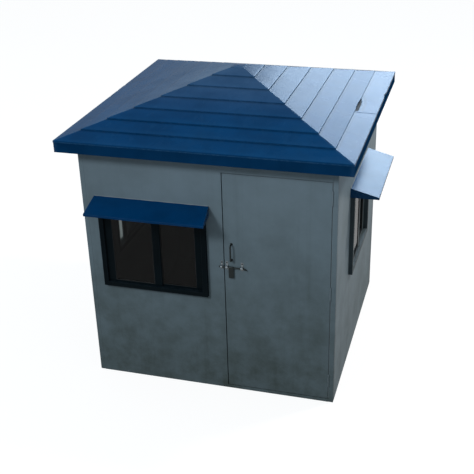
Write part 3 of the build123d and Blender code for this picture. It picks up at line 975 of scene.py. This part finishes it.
class BOOTH_OT_windows(bpy.types.Operator):
    """Window frames and sliding sashes with mitred corners, rounded edges and gaskets"""
    bl_idname = "booth.windows"
    bl_label = "Windows"

    def rounded_section(self, near, far, radius, face):
        """Profile of a frame side as rows of share and offset inwards, with their depths: the
        front edges are rounded, and a bead of the same radius runs along the inner one."""
        bevel = radius * 0.3
        rows = [(0, 0, far), (0, 0, near + radius), (0, bevel, near + bevel), (0, radius, near),
                (0, radius + face, near), (1, -radius - face, near), (1, -radius, near),
                (1, -bevel, near + bevel), (1, 0, near + radius), (1, 0, far)]
        rows = np.array(rows)
        return rows[:, :2], rows[:, 2]

    def gasket(self, sizes, low, high):
        """Rubber round a sash's pane: a low rounded profile inside the sash's bars."""
        inset = np.array([sizes.stile, 0, sizes.rail])
        near, width = low[1], sizes.gasket
        inward = [(0, 0), (0, 0), (0, width * 0.5), (0, width), (0, width)]
        depth = [near + 0.005, near + 0.0015, near + 0.0018, near + 0.004, near + 0.005]
        return mitred_frame(low + inset, high - inset, (0, 0), inward, depth)

    def execute(self, context):
        """Every frame, sash and gasket is a profile carried round four mitred corners."""
        sizes = context.scene.booth_window
        material = finishes(context.scene.booth_colours)
        for side in WINDOW_SIDES:
            front = side == "front"
            # The side windows' frames take the lighter copy: painted light.
            paint = material("frame_paint" if front else "dusty_frame_paint")
            bars = {f"{side}_frame_bars": (f"{side}_window_frame", sizes.edge * 1.5, 0.005,
                                           (sizes.frame_face, sizes.frame_face))}
            for sash in ("left", "right"):
                bars[f"{side}_{sash}_sash_bars"] = (f"{side}_window_sash_{sash}", sizes.edge, 0.003,
                                                    (sizes.stile, sizes.rail))
            gaskets = []
            for name, (node, edge, flat, widths) in bars.items():
                low, high = front_box(node, side)
                surface = mitred_frame(low, high, widths, *self.rounded_section(low[1], high[1], edge, flat))
                add_piece(name, surface, "booth", paint, [node], side=side)
                if "sash" in name:
                    gaskets.append(self.gasket(sizes, low, high))
            add_piece(f"{side}_gaskets", joined(gaskets), "booth", material("gasket"),
                      side=side)
            # The side panes take the darker copy of the tint: painted shade.
            finish_nodes(material("front_glass" if front else "side_glass"), f"{side}_window_glass")
        return {"FINISHED"}


class BOOTH_OT_door(bpy.types.Operator):
    """Flush door leaf with rounded edges, and the seals in the gaps above it and at its hinges"""
    bl_idname = "booth.door"
    bl_label = "Door leaf"

    def execute(self, context):
        sizes = context.scene.booth_door
        material = finishes(context.scene.booth_colours)
        low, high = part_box("door_leaf")
        add_piece("door_leaf_sheet", rounded_bar(low, high, sizes.edge), "door",
                  material("door_coat"), ["door_leaf"])
        head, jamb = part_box("front_wall_header")[0].z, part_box("front_wall_header")[1].x
        near, far = low.y + sizes.seal_depth, high.y - 0.004
        clear, edge, margin = sizes.seal_clearance, 0.0008, 0.001
        seals = [rounded_bar((low.x, near, high.z + clear), (jamb, far, head), edge, 0, margin),
                 rounded_bar((high.x + clear, near, low.z), (jamb, far, high.z + clear), edge, 2, margin)]
        add_piece("door_seals", joined(seals), "booth", material("sealant"))
        return {"FINISHED"}


class BOOTH_OT_hinges(bpy.types.Operator):
    """Three surface hinges: plates with screw heads, and turned knuckles on the pin's line"""
    bl_idname = "booth.hinges"
    bl_label = "Hinges"

    def knuckle(self, pin, low, high):
        """Turned sleeve about the pin, its two rims drawn in."""
        radius, rim = 0.006, 0.0009
        rows = [(0, radius * 0.6), (0, radius - rim), (rim, radius), (high - low - rim, radius),
                (high - low, radius - rim), (high - low, radius * 0.6)]
        return lathed(rows, (pin[0], pin[1], low), UPWARDS, 24)

    def half(self, pin, way, low, high, sleeves):
        """One half of a hinge, to the right (1) or the left (-1) of its pin: a thin rounded plate
        with three screw heads, and for each sleeve a knuckle and the lug that carries it."""
        plate_reach, lug_reach = (0.0065, 0.030), (0.0025, 0.0075)
        plate_edge, lug_edge = 0.0006, 0.0004
        screw_reach, screw_inset, screw_radius, screw_rise = 0.0185, 0.018, 0.0036, 0.0016
        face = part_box("front_wall_panel")[0].y
        plate_y = face - 0.002

        def bar(reach, bottom, top, radius, margin):
            """Bar between two distances from the pin, from the wall's face to the plate's."""
            left, right = sorted(pin[0] + way * distance for distance in reach)
            return rounded_bar((left, plate_y, bottom), (right, face, top), radius, margin=margin)

        parts = [bar(plate_reach, low, high, plate_edge, 0.002)]
        for start, end in sleeves:
            parts += [self.knuckle(pin, start, end), bar(lug_reach, start, end, lug_edge, 0.001)]
        for z in (low + screw_inset, (low + high) / 2, high - screw_inset):
            screw = (pin[0] + way * screw_reach, plate_y, z)
            parts.append(dome_head(screw, OUTWARDS, screw_radius, screw_rise))
        return parts

    def execute(self, context):
        """The post's half has the top and bottom thirds of the knuckles, the door's the middle."""
        material = finishes(context.scene.booth_colours)
        pin = joint_place("door_hinge")
        bottom, top = (corner.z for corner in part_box("hinge_post_halves"))
        tall, play = 0.120, 0.0005
        post, door = [], []
        for low in (bottom, (bottom + top - tall) / 2, top - tall):
            high, third = low + tall, tall / 3
            a, b = low + third, high - third
            post += self.half(pin, 1, low, high, ((low, a), (b, high)))
            door += self.half(pin, -1, low, high, ((a + play, b - play),))
        for name, parts, coat in (("post", post, "wall_coat"), ("door", door, "door_coat")):
            add_piece(f"hinge_{name}_plates", joined(parts), "door" if name == "door" else "booth",
                      material(coat), [f"hinge_{name}_halves"])
        return {"FINISHED"}


class BOOTH_OT_sliding_bolt(bpy.types.Operator):
    """Straps, rod and hanging flap of the sliding bolt"""
    bl_idname = "booth.sliding_bolt"
    bl_label = "Sliding bolt"

    def strap(self, sizes, x0, x1, pin, low, high, skin):
        """Bent band: its outline in depth and height runs down the wall, out over the rod as a
        round arch and down again, and is carried across the strap's width."""
        reach, arch, foot = 0.0098, 0.0097, 0.0015
        out, over, under = pin[1] - reach, pin[2] + reach, pin[2] - reach
        corners = [(skin, high), (skin, over), (out, over), (out, under), (skin, under), (skin, low)]
        path = bent_path(corners, [foot, arch, arch, foot], 7)
        return swept_along_x(sheet_outline(path, sizes.strap_sheet), (x0, x1))

    def add_straps(self, sizes, material, pin):
        """The receiver's strap and the guides' two, each with a bolt head above the rod and a
        smaller one below."""
        receiver_low, receiver_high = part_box("bolt_receiver")
        low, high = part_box("bolt_guides")
        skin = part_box("door_leaf")[0].y - sizes.strap_sheet
        width = 0.020
        for node, body, spans in (
                ("bolt_receiver", "booth", [(receiver_low.x, receiver_high.x)]),
                ("bolt_guides", "door", [(low.x, low.x + width), (high.x - width, high.x)])):
            bands, heads = [], []
            for x0, x1 in spans:
                bands.append(self.strap(sizes, x0, x1, pin, low.z, high.z, skin))
                for rise, times, height in ((0.036, 1.0, 0.005), (-0.019, 0.7, 0.003)):
                    heads.append(dome_head(((x0 + x1) / 2, skin, pin[2] + rise), OUTWARDS,
                                           sizes.bolt_head * times, height))
            add_piece(f"{node}_straps", joined(bands), body, material("zinc_steel"),
                      [node], bevel=0.0004)
            add_piece(f"{node}_heads", joined(heads), body, material("dark_steel"))

    def add_rod(self, sizes, material, pin):
        """Tube along the rod's line, with a drawn in tip and a tail that bends down."""
        low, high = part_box("bolt_rod")
        _, y, z = pin
        corners = [(low.x, y, z), (low.x + 0.002, y, z), (high.x - 0.023, y, z),
                   (high.x - 0.004, y, z - 0.0115)]
        path = bent_path(corners, [0, 0.016], 6)
        path = np.vstack([path, path[-1] + [0.0016, 0, -0.001], path[-1] + [0.0024, 0, -0.0015]])
        radius = np.full(len(path), sizes.rod)
        radius[[0, -2, -1]] = sizes.rod * np.array([0.7, 0.85, 0.4])
        add_piece("bolt_rod_bar", tube(path, radius, (0, 1, 0), 24), "bolt",
                  material("dark_steel"), ["bolt_rod"])

    def add_flap(self, material, pin):
        """Rounded plate that hangs under a sleeve round the rod."""
        low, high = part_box("bolt_flap")
        _, y, z = pin
        turn = np.linspace(0, 2 * np.pi, 28, endpoint=False)[:, None]
        bore, chamfered, skin, chamfer = 0.0066, 0.0082, 0.0089, 0.0006
        along = np.array([low.x, low.x, low.x + chamfer, high.x - chamfer, high.x, high.x])
        radius = np.array([bore, chamfered, skin, skin, chamfered, bore])
        sleeve = np.stack([0 * turn + along, y + np.cos(turn) * radius, z + np.sin(turn) * radius], -1)
        half_drop, half_sheet = 0.045, 0.0014
        outline = rounded_outline((high.x - low.x) / 2, half_drop, 0.007, 0.004, 5)
        outline = outline + [(low.x + high.x) / 2, low.z + half_drop]
        blade = plate(outline, 1, y - half_sheet, y + half_sheet)
        add_piece("bolt_flap_blade", joined([loft(sleeve, endless=True), blade]), "bolt_flap",
                  material("dark_steel"), ["bolt_flap"], bevel=0.0004)

    def execute(self, context):
        sizes = context.scene.booth_door
        material = finishes(context.scene.booth_colours)
        pin = joint_place("flap_hinge")
        self.add_straps(sizes, material, pin)
        self.add_rod(sizes, material, pin)
        self.add_flap(material, pin)
        return {"FINISHED"}


class BOOTH_OT_pull_handle(bpy.types.Operator):
    """Bow handle of bent bar on two turned feet"""
    bl_idname = "booth.pull_handle"
    bl_label = "Pull handle"

    def execute(self, context):
        """A tube along a path with two round bends, and two turned feet with a domed rim."""
        sizes = context.scene.booth_door
        material = finishes(context.scene.booth_colours)
        low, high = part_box("pull_handle")
        x, bar, foot = (low.x + high.x) / 2, low.y + sizes.handle_bar, high.y
        z0, z1 = low.z + sizes.handle_foot, high.z - sizes.handle_foot
        bend, r = 0.016, sizes.handle_foot
        path = bent_path([(x, foot, z0), (x, bar, z0), (x, bar, z1), (x, foot, z1)], bend, 10)
        rows = [(0, r), (0.0016, r), (0.0026, r - 0.0012), (0.003, r - 0.003), (0.0032, sizes.handle_bar)]
        feet = [lathed(rows, (x, foot, z), OUTWARDS, 28) for z in (z0, z1)]
        add_piece("pull_handle_bow", joined([tube(path, sizes.handle_bar, (1, 0, 0), 24)] + feet), "door",
                  material("dark_steel"), ["pull_handle"])
        return {"FINISHED"}


class BOOTH_OT_stage(bpy.types.Operator):
    """Pale floor, soft studio light and the camera at the photograph's angle"""
    bl_idname = "booth.stage"
    bl_label = "Stage"

    def background_share(self, tree):
        """One for the rays that show the background: camera, glossy and transmission rays."""
        path = tree.nodes.new("ShaderNodeLightPath").outputs
        seen = maths(tree, "MAXIMUM", path["Is Camera Ray"], path["Is Glossy Ray"])
        return maths(tree, "MAXIMUM", seen, path["Is Transmission Ray"])

    def stand(self, name, data, right, up, back, place):
        """New lamp or camera, with its three axes and its place."""
        thing = bpy.data.objects.new(name, data)
        bpy.context.scene.collection.objects.link(thing)
        columns = np.column_stack([right, up, back, place])
        thing.matrix_world = Matrix(np.vstack([columns, [0, 0, 0, 1]]).tolist())
        return thing

    def add_floor(self, light):
        """Square of floor far past the view, white where the background itself shows."""
        reach, glow = 70.0, 0.88
        corners = [(-reach, -reach, 0), (reach, -reach, 0), (reach, reach, 0), (-reach, reach, 0)]
        mesh = bpy.data.meshes.new("floor")
        mesh.from_pydata(corners, [], [(0, 1, 2, 3)])
        floor = bpy.data.objects.new("floor", mesh)
        bpy.context.scene.collection.objects.link(floor)
        material, tree, shader, _ = new_material("pale_floor")
        shader.inputs["Base Color"].default_value = (light.floor, light.floor, light.floor, 1)
        shader.inputs["Roughness"].default_value = 1.0
        shader.inputs["Specular IOR Level"].default_value = 0.0
        shader.inputs["Emission Color"].default_value = (1, 1, 1, 1)
        strength = maths(tree, "MULTIPLY", self.background_share(tree), glow)
        tree.links.new(strength, shader.inputs["Emission Strength"])
        mesh.materials.append(material)

    def add_world(self, light):
        """Even room light, and white where the background itself shows."""
        world = bpy.data.worlds.new("room")
        bpy.context.scene.world = world
        world.use_nodes = True
        tree = world.node_tree
        tint = (light.room * 0.86, light.room, light.room * 1.10)
        shown = mixed(tree, self.background_share(tree), tint, (1.0, 1.0, 1.0))
        tree.links.new(shown, tree.nodes["Background"].inputs["Color"])

    def add_lamp(self, name, place, aim, size, power, tint):
        """Rectangular lamp aimed at a point."""
        data = bpy.data.lights.new(name, "AREA")
        data.shape = "RECTANGLE"
        data.size, data.size_y = size
        data.energy, data.color = power, tint
        back = unit(np.subtract(place, aim))
        right = unit(np.cross(UPWARDS, back))
        lamp = self.stand(name, data, right, np.cross(back, right), back, place)
        lamp.visible_camera = False
        return lamp

    def add_camera(self):
        """Camera solved from the booth's corners: its yaw, pitch and roll as turned axes."""
        yaw, pitch, roll = np.radians([16.55829, 26.64795, -1.63051])
        ahead = np.array([-np.sin(yaw) * np.cos(pitch), np.cos(yaw) * np.cos(pitch), -np.sin(pitch)])
        level = np.array([np.cos(yaw), np.sin(yaw), 0])
        above = np.cross(level, ahead)
        right = np.cos(roll) * level + np.sin(roll) * above
        up = -np.sin(roll) * level + np.cos(roll) * above
        data = bpy.data.cameras.new("camera")
        data.lens, data.sensor_width = 68.088, 36.0
        data.clip_end = 300.0
        place = (2.051834, -7.099081, 4.630145)
        bpy.context.scene.camera = self.stand("camera", data, right, up, -ahead, place)

    def execute(self, context):
        """A lamp's power is its level, which a surface facing it is lit to, times the square of
        pi and of its distance. The panel's is its brightness times pi and its area."""
        light = context.scene.booth_light
        context.scene.view_settings.view_transform = "Standard"
        self.add_floor(light)
        self.add_world(light)
        for name, place, aim, width, level, tint in (
                ("front_lamp", (-6.5, -14.3, 13.0), (0, -0.6, 1.2), 3.6, light.front, (0.90, 1.0, 1.08)),
                ("side_lamp", (4.9, 2.4, 8.9), (0.6, 0, 1.2), 1.2, light.side, (1.06, 1.0, 0.94))):
            power = level * np.pi ** 2 * (np.subtract(place, aim) ** 2).sum()
            self.add_lamp(name, place, aim, (width, width), power, tint)
        width, depth = 6.0, 4.4
        sheen = self.add_lamp("sheen_panel", (2.0, 12.0, 6.8), (0.6, 0, 2.3), (width, depth),
                              light.sheen * np.pi * width * depth, (0.76, 0.99, 1.24))
        sheen.visible_diffuse = False
        self.add_camera()
        return {"FINISHED"}


class BOOTH_PT_panel(bpy.types.Panel):
    """Every step of the booth, in the order in which they are made"""
    bl_label = "Guard booth"
    bl_idname = "BOOTH_PT_panel"
    bl_space_type = "VIEW_3D"
    bl_region_type = "UI"
    bl_category = "Booth"

    def draw(self, context):
        for operator in OPERATORS:
            self.layout.operator(operator.bl_idname)


OPERATORS = (BOOTH_OT_roof_sheets, BOOTH_OT_fascia, BOOTH_OT_hoods, BOOTH_OT_walls, BOOTH_OT_windows,
             BOOTH_OT_door, BOOTH_OT_hinges, BOOTH_OT_sliding_bolt, BOOTH_OT_pull_handle, BOOTH_OT_stage)
SETTINGS = {"booth_roof": RoofSizes, "booth_window": WindowSizes, "booth_door": DoorSizes,
            "booth_colours": BoothColours, "booth_light": StageLight}


def register():
    for kind in (*SETTINGS.values(), *OPERATORS, BOOTH_PT_panel):
        bpy.utils.register_class(kind)
    for name, kind in SETTINGS.items():
        setattr(bpy.types.Scene, name, PointerProperty(type=kind))


def unregister():
    for name in SETTINGS:
        delattr(bpy.types.Scene, name)
    for kind in (BOOTH_PT_panel, *reversed(OPERATORS), *SETTINGS.values()):
        bpy.utils.unregister_class(kind)


def main():
    """Makes every piece in order."""
    register()
    for operator in OPERATORS:
        getattr(bpy.ops.booth, operator.bl_idname.split(".")[1])()


if __name__ == "__main__":
    main()
